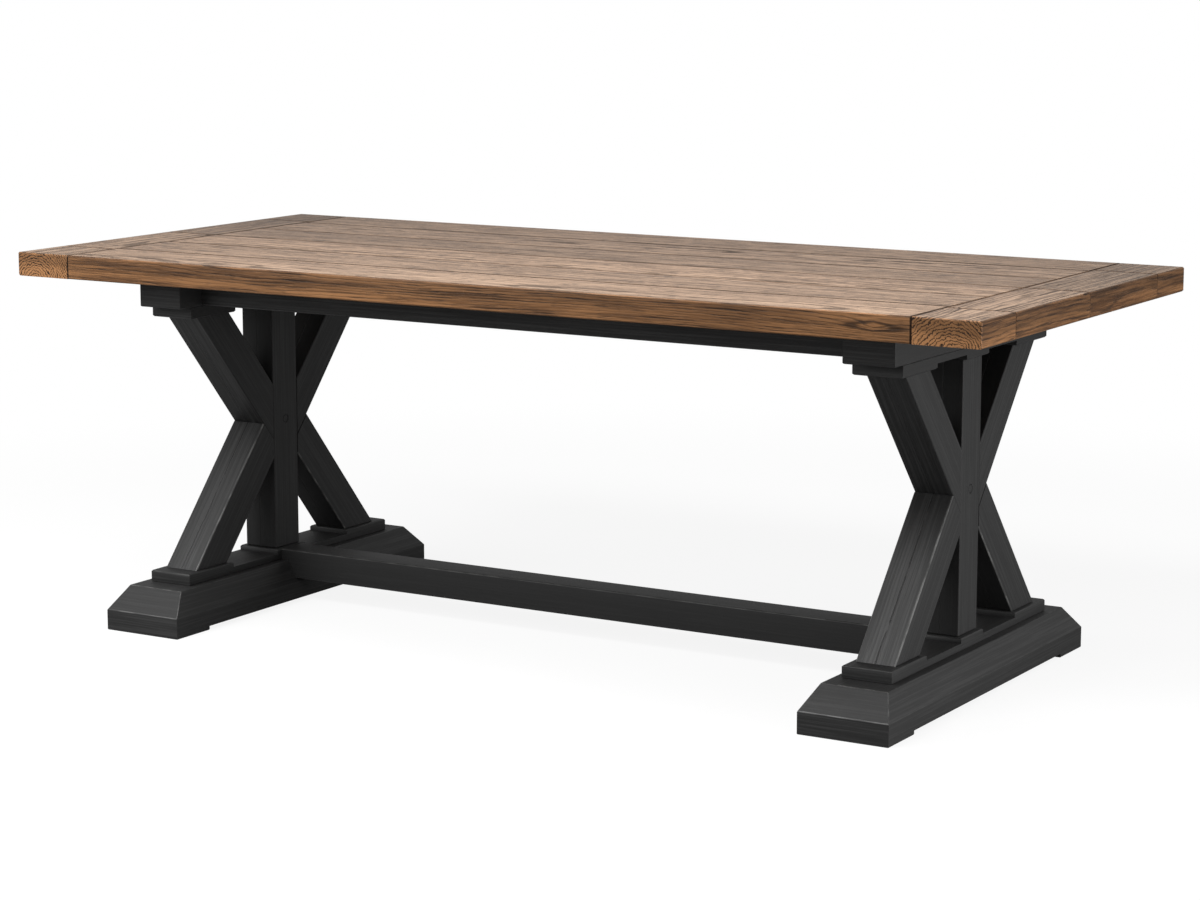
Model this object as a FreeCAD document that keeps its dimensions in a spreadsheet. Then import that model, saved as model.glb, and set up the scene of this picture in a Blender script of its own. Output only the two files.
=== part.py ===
import FreeCAD, Part
import os
import Sketcher

# Trestle dining table: an oak plank top on two black X trestles, tied by a stretcher.
# Millimetres, +Z up. The origin is on the floor under the middle of the table.
# +X runs along the table, the front is at -Y, left and right are -X and +X.

PLANK_COUNT = 6

SIZES = [
    # the table top
    ("table_length", 2134, "84 inches"),
    ("table_width", 965, "38 inches"),
    ("table_height", 775, "30 1/2 inches"),
    ("top_thickness", 48, ""),
    ("end_board_width", 131, "cross boards at both ends of the planks"),
    ("corner_block_length", 145, "along the end of the table"),
    ("top_edge_ease", 2.5, "bevel round the outside of the top"),
    ("seam_bevel", 1.5, "bevel at each joint of the top"),
    ("tongue_thickness", 14, "tongues of the planks"),
    ("side_tongue_length", 12, "between planks"),
    ("end_tongue_length", 22, "into the end boards"),
    ("end_tongue_setback", 30, "stops short of the table's long edges"),
    ("joint_clearance", 0.2, "round tongues and tenons"),
    # the trestles
    ("trestle_inset", 269, "end of the table to the middle of a trestle"),
    ("side_overhang", 121, "long edge of the table past the bearers"),
    ("foot_width", 182, ""),
    ("foot_height", 89, ""),
    ("foot_side_height", 43, "up to the slopes"),
    ("foot_end_slope", 46, "run of the slope at each end"),
    ("foot_side_slope", 24, "run of the slope along each side"),
    ("foot_margin", 95, "foot past the sole plate"),
    ("foot_pad_length", 106, "the parts that stand on the floor"),
    ("foot_relief", 8, "rise of the underside between the pads"),
    ("plate_width", 100, "sole and cap plates"),
    ("plate_thickness", 24, "at the raised pads"),
    ("plate_trough", 10, "depth between the raised pads"),
    ("pad_margin", 8, "raised pad past the leg or post"),
    ("sole_margin", 34, "sole plate past the legs"),
    ("cap_margin", 32, "cap plate past the legs"),
    ("leg_thickness", 80, "across the trestle"),
    ("leg_depth", 80, "square to the lean"),
    ("crossing_rise", 13.5, "notch of the X above the middle of the legs"),
    ("crossing_half_width", 77, "middle of the post to the notch"),
    ("post_thickness", 80, "across the trestle"),
    ("post_width", 84, "along the trestle"),
    ("post_tenon_thickness", 40, ""),
    ("post_tenon_width", 50, ""),
    ("post_tenon_length", 50, "through the plate, into foot or bearer"),
    ("bearer_margin", 37, "bearer past the cap plate"),
    ("bearer_width", 104, ""),
    ("bearer_depth", 63, ""),
    ("edge_ease", 2.5, "bevel along the edges of the trestles"),
    # the aprons and the stretcher
    ("apron_thickness", 26, ""),
    ("apron_depth", 61, ""),
    ("apron_setback", 69, "outer face behind the bearer's end"),
    ("apron_tenon_thickness", 12, ""),
    ("apron_tenon_depth", 40, ""),
    ("apron_tenon_length", 20, ""),
    ("stretcher_width", 72, ""),
    ("stretcher_height", 61, "its top is level with the sole's raised pads"),
    ("stretcher_tenon_width", 46, ""),
    ("stretcher_tenon_thickness", 25, ""),
    ("stretcher_tenon_rise", 6, "tenon above the stretcher's underside"),
    ("stretcher_tenon_end", 34, "from the middle of the trestle"),
    # the fasteners
    ("dowel_diameter", 10, ""),
    ("dowel_length", 60, "half in each piece"),
    ("end_dowel_inset", 40, "from the outer edge of an end board"),
    ("end_dowel_pitch", 46, "between the two dowels of an end joint"),
    ("leg_dowel_drop", 20, "below the top of the leg's face on the post"),
    ("leg_dowel_pitch", 40, "between the two dowels of an upper leg"),
    ("screw_diameter", 7, "wood screws of the legs"),
    ("screw_length", 70, ""),
    ("screw_head_diameter", 14, ""),
    ("screw_head_height", 5, ""),
    ("lag_diameter", 8, ""),
    ("lag_hold", 20, "length in the piece that a lag holds"),
    ("lag_recess", 11, "underside of a lag's head inside the face that it enters"),
    ("lag_head_width", 13, "across the flats"),
    ("lag_head_height", 6, ""),
    ("lag_pocket", 18, "diameter of the pocket round a lag's head"),
    ("lag_inset", 32, "lag of a plate inside the outer edge of the leg"),
    ("lag_spread", 56, "between the two lags at a bearer's end"),
    ("bolt_diameter", 8, "cross bolt of the post"),
    ("bolt_grip", 36, "wood between head and nut"),
    ("bolt_head_height", 7, "and the nut's"),
    ("plug_diameter", 18, ""),
    ("plug_length", 10, ""),
    ("hole_clearance", 0.2, "on the diameter of screws, bolts, dowels and plugs"),
    ("hole_spare", 1, "depth past the end of a screw or dowel"),
    ("cut_past", 5, "cuts run this far past a face"),
]

doc = FreeCAD.newDocument("trestle_table")
sheet = doc.addObject("Spreadsheet::Sheet", "Sizes")
for row, (alias, amount, note) in enumerate(SIZES, start=1):
    sheet.set(f"A{row}", alias.replace("_", " "))
    sheet.set(f"B{row}", str(amount))
    sheet.setAlias(f"B{row}", alias)
    sheet.set(f"C{row}", note)
doc.recompute()

# Heights, reaches and places that follow from the sizes

UNDER_TOP = "(Sizes.table_height - Sizes.top_thickness)"
TOP_MIDDLE = "(Sizes.table_height - Sizes.top_thickness / 2)"
TONGUE_LOW = f"({TOP_MIDDLE} - Sizes.tongue_thickness / 2)"
TONGUE_HIGH = f"({TOP_MIDDLE} + Sizes.tongue_thickness / 2)"
GROOVE_LOW = f"({TONGUE_LOW} - Sizes.joint_clearance)"
GROOVE_HIGH = f"({TONGUE_HIGH} + Sizes.joint_clearance)"
TOP_END = "(Sizes.table_length / 2)"
TOP_SIDE = "(Sizes.table_width / 2)"
FIELD_END = f"({TOP_END} - Sizes.end_board_width)"
BLOCK_START = f"({TOP_SIDE} - Sizes.corner_block_length)"
PLANK_WIDTH = f"(Sizes.table_width / {PLANK_COUNT})"

TRESTLE_X = f"({TOP_END} - Sizes.trestle_inset)"
BEARER_BOTTOM = f"({UNDER_TOP} - Sizes.bearer_depth)"
CAP_BOTTOM = f"({BEARER_BOTTOM} - Sizes.plate_thickness)"
SOLE_TOP = "(Sizes.foot_height + Sizes.plate_thickness)"
CROSSING = f"(({SOLE_TOP} + {CAP_BOTTOM}) / 2 + Sizes.crossing_rise)"
HALF_POST = "(Sizes.post_width / 2)"
BEARER_HALF = f"({TOP_SIDE} - Sizes.side_overhang)"
CAP_HALF = f"({BEARER_HALF} - Sizes.bearer_margin)"
UPPER_REACH = f"({CAP_HALF} - Sizes.cap_margin)"
# The legs lean this far outwards for each millimetre of height
LEAN = f"(({UPPER_REACH} - Sizes.crossing_half_width) / ({CAP_BOTTOM} - {CROSSING}))"
LEG_SPAN = f"(Sizes.leg_depth * sqrt(1 + {LEAN} ^ 2))"
LOWER_REACH = f"(Sizes.crossing_half_width + ({CROSSING} - {SOLE_TOP}) * {LEAN})"
LOWER_INNER = f"({LOWER_REACH} - {LEG_SPAN})"
UPPER_INNER = f"({UPPER_REACH} - {LEG_SPAN})"
SCRIBE_HEIGHT = f"({CROSSING} - (Sizes.crossing_half_width - {HALF_POST}) / {LEAN})"
LOWER_FACE_FOOT = f"({SOLE_TOP} + ({LOWER_INNER} - {HALF_POST}) / {LEAN})"
UPPER_FACE_HEAD = f"({CAP_BOTTOM} - ({UPPER_INNER} - {HALF_POST}) / {LEAN})"
SOLE_HALF = f"({LOWER_REACH} + Sizes.sole_margin)"
FOOT_HALF = f"({SOLE_HALF} + Sizes.foot_margin)"
APRON_MIDDLE = f"({BEARER_HALF} - Sizes.apron_setback - Sizes.apron_thickness / 2)"
APRON_TENON_LOW = f"({UNDER_TOP} - Sizes.apron_depth / 2 - Sizes.apron_tenon_depth / 2)"
STRETCHER_BOTTOM = f"({SOLE_TOP} - Sizes.stretcher_height)"
STRETCHER_TENON_LOW = f"({STRETCHER_BOTTOM} + Sizes.stretcher_tenon_rise)"
STRETCHER_TENON_HIGH = f"({STRETCHER_TENON_LOW} + Sizes.stretcher_tenon_thickness)"

# A leg's screw leans on the middle of the wood that it enters
SCREW_HOLD = "(Sizes.screw_length - Sizes.plate_thickness)"
LOWER_SCREW_Y = f"(({LOWER_REACH} + {LOWER_INNER} - {SCREW_HOLD} * {LEAN}) / 2)"
UPPER_SCREW_Y = f"(({UPPER_REACH} + {UPPER_INNER} - {SCREW_HOLD} * {LEAN}) / 2)"
SOLE_LAG_Y = f"({LOWER_REACH} - Sizes.lag_inset)"
CAP_LAG_Y = f"({UPPER_REACH} - Sizes.lag_inset)"
TOP_LAG_Y = f"(({CAP_HALF} + {BEARER_HALF}) / 2)"
STRETCHER_LAG_X = "(-(Sizes.stretcher_tenon_end + Sizes.lag_pocket))"
FOOT_LAG_SEAT = "(Sizes.foot_relief + Sizes.lag_recess)"
CAP_LAG_SEAT = f"({UNDER_TOP} - Sizes.lag_recess)"
TOP_LAG_SEAT = f"({BEARER_BOTTOM} + Sizes.lag_recess)"
FOOT_LAG_GRIP = f"(Sizes.foot_height - {FOOT_LAG_SEAT})"
BEARER_LAG_GRIP = "(Sizes.bearer_depth - Sizes.lag_recess)"
STRETCHER_LAG_GRIP = f"({STRETCHER_TENON_LOW} - {FOOT_LAG_SEAT})"
LOWER_DOWEL_Z = f"(({SCRIBE_HEIGHT} + {LOWER_FACE_FOOT}) / 2)"
UPPER_DOWEL_Z = [
    f"({UPPER_FACE_HEAD} - Sizes.leg_dowel_drop)",
    f"({UPPER_FACE_HEAD} - Sizes.leg_dowel_drop - Sizes.leg_dowel_pitch)",
]
END_DOWEL_X = [
    f"({TOP_END} - Sizes.end_dowel_inset)",
    f"({TOP_END} - Sizes.end_dowel_inset - Sizes.end_dowel_pitch)",
]

DOWEL_HOLE = "Sizes.dowel_diameter + Sizes.hole_clearance"
DOWEL_DEPTH = "Sizes.dowel_length / 2 + Sizes.hole_spare"
SCREW_HOLE = "Sizes.screw_diameter + Sizes.hole_clearance"
LAG_HOLE = "Sizes.lag_diameter + Sizes.hole_clearance"
LAG_DEPTH = "Sizes.lag_hold + Sizes.hole_spare"
BOLT_HOLE = "Sizes.bolt_diameter + Sizes.hole_clearance"
PLUG_HOLE = "Sizes.plug_diameter + Sizes.hole_clearance"

SIDES = {"left": -1, "right": 1}
EDGES = {"front": -1, "back": 1}
NEAR = 1e-4

pieces = []


def number(expression):
    """The value of an expression in millimetres or degrees."""
    return float(sheet.evalExpression(expression))


def flip(corners, sign):
    """The same corners, mirrored where the sign is negative."""
    return [(f"{sign} * ({u})", v) for u, v in corners]


# Steps that build a piece

def new_piece(label):
    body = doc.addObject("PartDesign::Body", label)
    body.Label = label
    pieces.append(body)
    return body


def new_sketch(body, role, offset="0"):
    """An empty sketch on one of the piece's origin planes, moved along the plane's normal."""
    plane = next(item for item in body.Origin.OriginFeatures if item.Role == role)
    sketch = body.newObject("Sketcher::SketchObject", f"{body.Label}_sketch")
    sketch.AttachmentSupport = [(plane, "")]
    sketch.MapMode = "FlatFace"
    sketch.setExpression("AttachmentOffset.Base.z", offset)
    return sketch


def tie_point(sketch, geometry, position, place):
    """Ties a point of the sketch to a pair of expressions."""
    for kind, expression in zip(("DistanceX", "DistanceY"), place):
        tie = Sketcher.Constraint(kind, -1, 1, geometry, position, number(expression))
        index = sketch.addConstraint(tie)
        sketch.setExpression(f"Constraints[{index}]", expression)


def draw_outline(sketch, corners):
    """A closed outline of straight lines, each corner a pair of expressions."""
    points = [FreeCAD.Vector(number(u), number(v), 0) for u, v in corners]
    first = sketch.GeometryCount
    count = len(points)
    for index in range(count):
        sketch.addGeometry(Part.LineSegment(points[index], points[(index + 1) % count]))
    for index in range(count):
        follower = first + (index + 1) % count
        sketch.addConstraint(Sketcher.Constraint("Coincident", first + index, 2, follower, 1))
    for index, place in enumerate(corners):
        tie_point(sketch, first + index, 1, place)


def draw_rectangle(sketch, low, high):
    (left, bottom), (right, top) = low, high
    draw_outline(sketch, [(left, bottom), (right, bottom), (right, top), (left, top)])


def draw_circles(sketch, centres, diameter):
    for place in centres:
        middle = FreeCAD.Vector(number(place[0]), number(place[1]), 0)
        circle = Part.Circle(middle, FreeCAD.Vector(0, 0, 1), number(diameter) / 2)
        geometry = sketch.addGeometry(circle)
        tie_point(sketch, geometry, 3, place)
        index = sketch.addConstraint(Sketcher.Constraint("Diameter", geometry, number(diameter)))
        sketch.setExpression(f"Constraints[{index}]", diameter)


def pad(body, sketch, length, symmetric=False, reverse=False):
    feature = body.newObject("PartDesign::Pad", f"{body.Label}_pad")
    feature.Profile = sketch
    feature.SideType = "Symmetric" if symmetric else "One side"
    feature.Reversed = reverse
    feature.setExpression("Length", length)
    return feature


def cut(body, sketch, length=None, symmetric=False, reverse=False):
    """A pocket against the sketch's normal, right through where no length is given."""
    feature = body.newObject("PartDesign::Pocket", f"{body.Label}_pocket")
    feature.Profile = sketch
    feature.SideType = "Symmetric" if symmetric else "One side"
    feature.Reversed = reverse
    if length is None:
        feature.Type = "ThroughAll"
    else:
        feature.setExpression("Length", length)
    return feature


def bore(body, role, offset, centres, diameter, length=None, symmetric=False, reverse=False):
    sketch = new_sketch(body, role, offset)
    draw_circles(sketch, centres, diameter)
    return cut(body, sketch, length, symmetric, reverse)


def ease(body, chosen, size):
    """Bevels the straight edges of the piece that the test picks by their two ends."""
    doc.recompute()
    tip = body.Tip
    names = []
    for index, edge in enumerate(tip.Shape.Edges, start=1):
        ends = [vertex.Point for vertex in edge.Vertexes]
        if len(ends) == 2 and isinstance(edge.Curve, Part.Line) and chosen(*ends):
            names.append(f"Edge{index}")
    feature = body.newObject("PartDesign::Chamfer", f"{body.Label}_ease")
    feature.Base = (tip, names)
    feature.setExpression("Size", size)
    return feature


def same(value, expression):
    return abs(value - number(expression)) < NEAR


def place_piece(body, x="0", y="0", turned=False):
    """Puts a piece at x and y, turned half round about the upright axis where asked."""
    angle = 180 if turned else 0
    body.Placement = FreeCAD.Placement(FreeCAD.Vector(), FreeCAD.Rotation(FreeCAD.Vector(0, 0, 1), angle))
    body.setExpression("Placement.Base.x", x)
    body.setExpression("Placement.Base.y", y)


# Table top

def plank_side(sign, joint):
    """Corners of one long side of a plank, from its underside to its top face."""
    edge = f"({PLANK_WIDTH} / 2)"
    if joint == "outer":
        inside = f"{edge} - Sizes.top_edge_ease"
        corners = [
            (inside, UNDER_TOP),
            (edge, f"{UNDER_TOP} + Sizes.top_edge_ease"),
            (edge, "Sizes.table_height - Sizes.top_edge_ease"),
            (inside, "Sizes.table_height"),
        ]
        return flip(corners, sign)
    if joint == "tongue":
        low, high, tip = TONGUE_LOW, TONGUE_HIGH, f"{edge} + Sizes.side_tongue_length"
    else:
        low, high = GROOVE_LOW, GROOVE_HIGH
        tip = f"{edge} - Sizes.side_tongue_length - Sizes.joint_clearance"
    corners = [
        (edge, UNDER_TOP),
        (edge, low),
        (tip, low),
        (tip, high),
        (edge, high),
        (edge, "Sizes.table_height - Sizes.seam_bevel"),
        (f"{edge} - Sizes.seam_bevel", "Sizes.table_height"),
    ]
    return flip(corners, sign)


def plank_middle(index):
    return f"({PLANK_WIDTH} * {index + 0.5} - {TOP_SIDE})"


def top_lag_places():
    """Every lag that holds the top, as x and y in the table's frame."""
    places = []
    for side in SIDES.values():
        for edge in EDGES.values():
            for spread in (-0.5, 0.5):
                x = f"({side} * {TRESTLE_X} + {spread} * Sizes.lag_spread)"
                places.append((x, f"({edge} * {TOP_LAG_Y})"))
    return places


def stop_end_tongues(body, past_end, edge):
    """Cuts an outer plank's end tongues back from the table's edge, and bevels the joint there."""
    outside = f"{edge} * ({PLANK_WIDTH} / 2 + Sizes.cut_past)"
    stop = f"{edge} * ({PLANK_WIDTH} / 2 - Sizes.end_tongue_setback)"
    notch = [
        (FIELD_END, stop),
        (past_end, stop),
        (past_end, outside),
        (f"{FIELD_END} - Sizes.seam_bevel - Sizes.cut_past", outside),
        (FIELD_END, f"{edge} * ({PLANK_WIDTH} / 2 - Sizes.seam_bevel)"),
    ]
    notches = new_sketch(body, "XY_Plane", "Sizes.table_height")
    for sign in SIDES.values():
        draw_outline(notches, flip(notch, sign))
    cut(body, notches)


def make_plank(index):
    """A plank along X, with tongues at both ends and a bevel at every joint."""
    body = new_piece(f"plank_{index + 1}")
    first, last = index == 0, index == PLANK_COUNT - 1
    front = plank_side(-1, "outer" if first else "groove")
    back = plank_side(1, "outer" if last else "tongue")
    section = new_sketch(body, "YZ_Plane")
    draw_outline(section, back + front[::-1])
    pad(body, section, f"2 * ({FIELD_END} + Sizes.end_tongue_length)", symmetric=True)

    shoulders = new_sketch(body, "XZ_Plane")
    past_end = f"{FIELD_END} + Sizes.end_tongue_length + Sizes.cut_past"
    past_top = "Sizes.table_height + Sizes.cut_past"
    upper = [
        (FIELD_END, TONGUE_HIGH),
        (past_end, TONGUE_HIGH),
        (past_end, past_top),
        (f"{FIELD_END} - Sizes.seam_bevel - Sizes.cut_past", past_top),
        (FIELD_END, "Sizes.table_height - Sizes.seam_bevel"),
    ]
    past_bottom = f"{UNDER_TOP} - Sizes.cut_past"
    lower = [
        (FIELD_END, past_bottom),
        (past_end, past_bottom),
        (past_end, TONGUE_LOW),
        (FIELD_END, TONGUE_LOW),
    ]
    for sign in SIDES.values():
        draw_outline(shoulders, flip(upper, sign))
        draw_outline(shoulders, flip(lower, sign))
    cut(body, shoulders, symmetric=True)
    if first or last:
        stop_end_tongues(body, past_end, -1 if first else 1)

    middle = plank_middle(index)
    reach = number(f"({PLANK_WIDTH} + {LAG_HOLE}) / 2")
    tongue = 0 if last else number("Sizes.side_tongue_length")
    holes = []
    for x, y in top_lag_places():
        across = f"{y} - {middle}"
        if -reach < number(across) < reach + tongue:
            holes.append((x, across))
    if holes:
        bore(body, "XY_Plane", UNDER_TOP, holes, LAG_HOLE, LAG_DEPTH, reverse=True)
    place_piece(body, y=middle)


def draw_end_section(body, offset):
    """The section of an end board or corner block."""
    section = new_sketch(body, "XZ_Plane", offset)
    draw_outline(section, [
        (FIELD_END, UNDER_TOP),
        (f"{TOP_END} - Sizes.top_edge_ease", UNDER_TOP),
        (TOP_END, f"{UNDER_TOP} + Sizes.top_edge_ease"),
        (TOP_END, "Sizes.table_height - Sizes.top_edge_ease"),
        (f"{TOP_END} - Sizes.top_edge_ease", "Sizes.table_height"),
        (f"{FIELD_END} + Sizes.seam_bevel", "Sizes.table_height"),
        (FIELD_END, "Sizes.table_height - Sizes.seam_bevel"),
    ])
    return section


def make_end_piece(label, side, edge, start, length, groove_length, jointed):
    """A piece of the cross boards, from start outwards along one half of the table's end.

    The groove takes the planks' tongues. jointed lists the ends that are dowelled to a neighbour.
    """
    body = new_piece(label)
    # the right end is drawn; at the left end a piece is its opposite, turned half round
    toward = edge * side
    start_plane = f"{-toward} * ({start})"
    pad(body, draw_end_section(body, start_plane), length, reverse=toward > 0)
    groove = new_sketch(body, "XZ_Plane", start_plane)
    groove_end = f"{FIELD_END} + Sizes.end_tongue_length + Sizes.joint_clearance"
    draw_rectangle(groove, (f"{FIELD_END} - Sizes.cut_past", GROOVE_LOW), (groove_end, GROOVE_HIGH))
    cut(body, groove, groove_length, reverse=toward < 0)

    ends = {"inner": start, "outer": f"({start} + {length})"}
    dowels = [(x, TOP_MIDDLE) for x in END_DOWEL_X]
    for name in jointed:
        into_front = (name == "inner") == (toward < 0)
        plane = f"{-toward} * {ends[name]}"
        bore(body, "XZ_Plane", plane, dowels, DOWEL_HOLE, DOWEL_DEPTH, reverse=into_front)

    top_rim = number("Sizes.table_height - Sizes.seam_bevel") - NEAR
    outer_rim = number(f"{TOP_END} - Sizes.top_edge_ease") - NEAR

    def rim_of(where):
        def chosen(*points):
            on_plane = all(same(toward * p.y, ends[where]) for p in points)
            return on_plane and (all(p.z > top_rim for p in points) or all(p.x > outer_rim for p in points))
        return chosen

    def joint_corner(*points):
        return all(same(p.x, FIELD_END) and same(toward * p.y, ends["outer"]) for p in points)

    for name in ends:
        ease(body, rim_of(name), "Sizes.seam_bevel" if name in jointed else "Sizes.top_edge_ease")
    if "outer" not in jointed:
        ease(body, joint_corner, "Sizes.seam_bevel")
    place_piece(body, turned=side < 0)


def make_table_top():
    for index in range(PLANK_COUNT):
        make_plank(index)
    for side_name, side in SIDES.items():
        for edge_name, edge in EDGES.items():
            where = f"{side_name}_{edge_name}"
            board = f"end_board_{where}"
            make_end_piece(board, side, edge, "0", BLOCK_START, None, ["inner", "outer"])
            block = f"corner_block_{where}"
            block_length = "Sizes.corner_block_length"
            block_groove = f"{block_length} - Sizes.end_tongue_setback + Sizes.joint_clearance"
            make_end_piece(block, side, edge, BLOCK_START, block_length, block_groove, ["inner"])


# Trestles

def both_ends(distance, across="0"):
    """The same place at the front and at the back of a trestle."""
    return [(across, f"{edge} * ({distance})") for edge in EDGES.values()]


def cut_post_mortise(body, base, depth, up):
    """The mortise for a tenon of the post, from a level face into the piece."""
    half_x = "(Sizes.post_tenon_thickness / 2 + Sizes.joint_clearance)"
    half_y = "(Sizes.post_tenon_width / 2 + Sizes.joint_clearance)"
    sketch = new_sketch(body, "XY_Plane", base)
    draw_rectangle(sketch, (f"-{half_x}", f"-{half_y}"), (half_x, half_y))
    cut(body, sketch, depth, reverse=up)


def bore_lags(body, seat, grip, places, up):
    """A hole for the shank on one side of the head's seat, and the head's pocket on the other."""
    bore(body, "XY_Plane", seat, places, LAG_HOLE, f"{grip} + Sizes.cut_past", reverse=up)
    bore(body, "XY_Plane", seat, places, "Sizes.lag_pocket", reverse=not up)


def make_foot(side_name, side):
    """A hipped block on two pads, mortised for the post and for the stretcher."""
    body = new_piece(f"foot_{side_name}")
    half_x = "(Sizes.foot_width / 2)"
    top_x = f"({half_x} - Sizes.foot_side_slope)"
    top_y = f"({FOOT_HALF} - Sizes.foot_end_slope)"
    block = new_sketch(body, "XY_Plane")
    draw_rectangle(block, (f"-{half_x}", f"-{FOOT_HALF}"), (half_x, FOOT_HALF))
    pad(body, block, "Sizes.foot_side_height")
    eaves = new_sketch(body, "XY_Plane", "Sizes.foot_side_height")
    draw_rectangle(eaves, (f"-{half_x}", f"-{FOOT_HALF}"), (half_x, FOOT_HALF))
    ridge = new_sketch(body, "XY_Plane", "Sizes.foot_height")
    draw_rectangle(ridge, (f"-{top_x}", f"-{top_y}"), (top_x, top_y))
    hip = body.newObject("PartDesign::AdditiveLoft", f"{body.Label}_hip")
    hip.Profile = eaves
    hip.Sections = [ridge]
    hip.Ruled = True

    relief = new_sketch(body, "XY_Plane")
    relief_y = f"({FOOT_HALF} - Sizes.foot_pad_length)"
    past_x = f"({half_x} + Sizes.cut_past)"
    draw_rectangle(relief, (f"-{past_x}", f"-{relief_y}"), (past_x, relief_y))
    cut(body, relief, "Sizes.foot_relief", reverse=True)

    into_foot = "Sizes.post_tenon_length - Sizes.plate_thickness + Sizes.joint_clearance"
    cut_post_mortise(body, "Sizes.foot_height", into_foot, up=False)
    bore_lags(body, FOOT_LAG_SEAT, FOOT_LAG_GRIP, both_ends(SOLE_LAG_Y), up=True)

    mortise = new_sketch(body, "YZ_Plane", "Sizes.joint_clearance - Sizes.stretcher_tenon_end")
    half_y = "(Sizes.stretcher_tenon_width / 2 + Sizes.joint_clearance)"
    low = f"{STRETCHER_TENON_LOW} - Sizes.joint_clearance"
    high = f"{STRETCHER_TENON_HIGH} + Sizes.joint_clearance"
    draw_rectangle(mortise, (f"-{half_y}", low), (half_y, high))
    cut(body, mortise)
    bore_lags(body, FOOT_LAG_SEAT, STRETCHER_LAG_GRIP, [(STRETCHER_LAG_X, "0")], up=True)
    place_piece(body, x=f"{side} * {TRESTLE_X}", turned=side < 0)


def make_plate(label, side, half, inner, back_z, pad_z, facing):
    """A board with raised pads under the legs and the post; facing is +1 where the pads look up."""
    body = new_piece(label)
    trough = f"({pad_z} - {facing} * Sizes.plate_trough)"
    end_pad = f"({inner} - Sizes.pad_margin)"
    post_pad = f"({HALF_POST} + Sizes.pad_margin)"
    half_outline = [
        (half, back_z),
        (half, pad_z),
        (end_pad, pad_z),
        (end_pad, trough),
        (post_pad, trough),
        (post_pad, pad_z),
    ]
    outline = new_sketch(body, "YZ_Plane")
    draw_outline(outline, half_outline + flip(half_outline, -1)[::-1])
    pad(body, outline, "Sizes.plate_width", symmetric=True)
    cut_post_mortise(body, back_z, "Sizes.plate_thickness + Sizes.cut_past", up=facing > 0)

    def pad_rim(first, second):
        ends = (first, second)
        on_pad = all(same(p.z, pad_z) for p in ends)
        on_side = all(same(abs(p.x), "Sizes.plate_width / 2") for p in ends)
        on_end = all(same(abs(p.y), half) for p in ends)
        return on_pad and (on_side or on_end)

    ease(body, pad_rim, "Sizes.edge_ease")
    place_piece(body, x=f"{side} * {TRESTLE_X}", turned=side < 0)
    return body


def make_sole_plate(side_name, side):
    body = make_plate(
        f"sole_plate_{side_name}", side, SOLE_HALF, LOWER_INNER, "Sizes.foot_height", SOLE_TOP, facing=1)
    bore(body, "XY_Plane", "Sizes.foot_height", both_ends(SOLE_LAG_Y), LAG_HOLE, LAG_DEPTH, reverse=True)
    bore_plate_screws(body, "Sizes.foot_height", LOWER_SCREW_Y, up=True)


def make_cap_plate(side_name, side):
    body = make_plate(
        f"cap_plate_{side_name}", side, CAP_HALF, UPPER_INNER, BEARER_BOTTOM, CAP_BOTTOM, facing=-1)
    bore(body, "XY_Plane", BEARER_BOTTOM, both_ends(CAP_LAG_Y), LAG_HOLE, LAG_DEPTH)
    bore_plate_screws(body, BEARER_BOTTOM, UPPER_SCREW_Y, up=False)


def bore_plate_screws(body, face, distance, up):
    """Countersunk holes for the screws of the legs, from the plate's flat face."""
    for across, along in both_ends(distance):
        bore(body, "XY_Plane", face, [(across, along)], SCREW_HOLE, reverse=up)
        sink = body.newObject("PartDesign::SubtractiveCone", f"{body.Label}_sink")
        sink.setExpression("Radius1", "(Sizes.screw_head_diameter + Sizes.hole_clearance) / 2")
        sink.setExpression("Radius2", f"({SCREW_HOLE}) / 2")
        sink.setExpression("Height", "Sizes.screw_head_height")
        turn = FreeCAD.Rotation(FreeCAD.Vector(1, 0, 0), 0 if up else 180)
        sink.Placement = FreeCAD.Placement(FreeCAD.Vector(), turn)
        sink.setExpression("Placement.Base.x", across)
        sink.setExpression("Placement.Base.y", along)
        sink.setExpression("Placement.Base.z", face)


def make_leg(label, side, edge, outline, dowel_heights, screw_y, screw_face, up):
    """A half leg: its outline on the trestle's plane, dowelled to the post and screwed to its plate."""
    body = new_piece(label)
    sketch = new_sketch(body, "YZ_Plane")
    draw_outline(sketch, flip(outline, -1))
    pad(body, sketch, "Sizes.leg_thickness", symmetric=True)
    dowels = [("0", z) for z in dowel_heights]
    bore(body, "XZ_Plane", HALF_POST, dowels, DOWEL_HOLE, DOWEL_DEPTH, reverse=True)
    screw_depth = f"{SCREW_HOLD} + Sizes.hole_spare"
    bore(body, "XY_Plane", screw_face, [("0", f"-{screw_y}")], SCREW_HOLE, screw_depth, reverse=up)

    def long_edge(first, second):
        rise = abs(first.z - second.z)
        run = abs(first.y - second.y)
        leaning = rise > NEAR and abs(run / rise - number(LEAN)) < NEAR
        at_notch = any(same(p.z, CROSSING) for p in (first, second))
        at_scribe = any(same(p.z, SCRIBE_HEIGHT) for p in (first, second))
        return leaning and not (at_notch and at_scribe)

    ease(body, long_edge, "Sizes.edge_ease")
    place_piece(body, x=f"{side} * {TRESTLE_X}", turned=edge > 0)


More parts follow.
